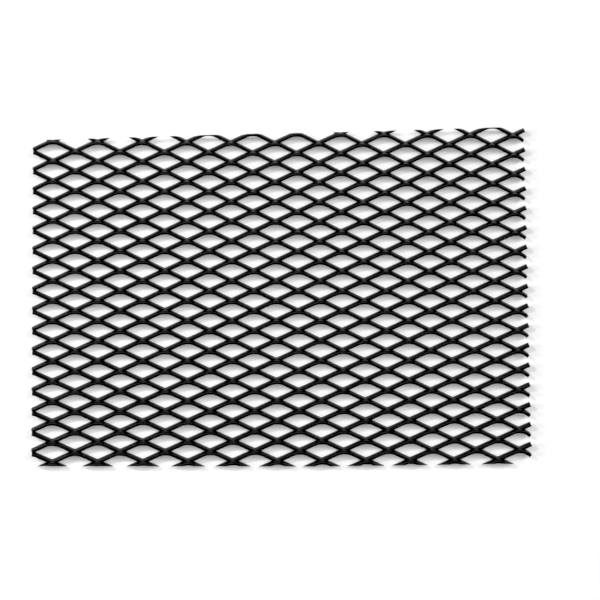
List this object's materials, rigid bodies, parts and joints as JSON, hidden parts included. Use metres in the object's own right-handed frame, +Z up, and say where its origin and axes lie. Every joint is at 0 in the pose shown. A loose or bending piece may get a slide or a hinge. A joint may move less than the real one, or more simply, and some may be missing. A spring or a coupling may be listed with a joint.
{
  "type": "expanded metal mesh sheet",
  "caption": "Flat rectangular piece of raised expanded metal mesh with diamond openings, coated black, for guards, grilles and screens.",
  "frame": {"origin": "middle of the piece in plan, on the surface that it lies on", "axes": "+X along the long way of the openings, +Y along the short way towards the rounded arches, +Z up out of the sheet"},
  "size_m": [0.1124, 0.0772, 0.0023],
  "materials": {
    "black_coating": "semi-gloss powder coat with a fine orange peel"
  },
  "bodies": {
    "root": {"strand_row_01": "black_coating", "strand_row_02": "black_coating", "strand_row_03": "black_coating", "strand_row_04": "black_coating", "strand_row_05": "black_coating", "strand_row_06": "black_coating", "strand_row_07": "black_coating", "strand_row_08": "black_coating", "strand_row_09": "black_coating", "strand_row_10": "black_coating", "strand_row_11": "black_coating", "strand_row_12": "black_coating", "strand_row_13": "black_coating", "strand_row_14": "black_coating", "strand_row_15": "black_coating", "strand_row_16": "black_coating", "strand_row_17": "black_coating", "strand_row_18": "black_coating", "strand_row_19": "black_coating", "strand_row_20": "black_coating", "strand_row_21": "black_coating", "strand_row_22": "black_coating", "strand_row_23": "black_coating", "strand_row_24": "black_coating", "strand_row_25": "black_coating", "strand_row_26": "black_coating", "strand_row_27": "black_coating", "strand_row_28": "black_coating", "strand_row_29": "black_coating", "strand_row_30": "black_coating", "strand_row_31": "black_coating", "strand_row_32": "black_coating", "strand_row_33": "black_coating", "strand_row_34": "black_coating", "strand_row_35": "black_coating"}
  },
  "joints": []
}
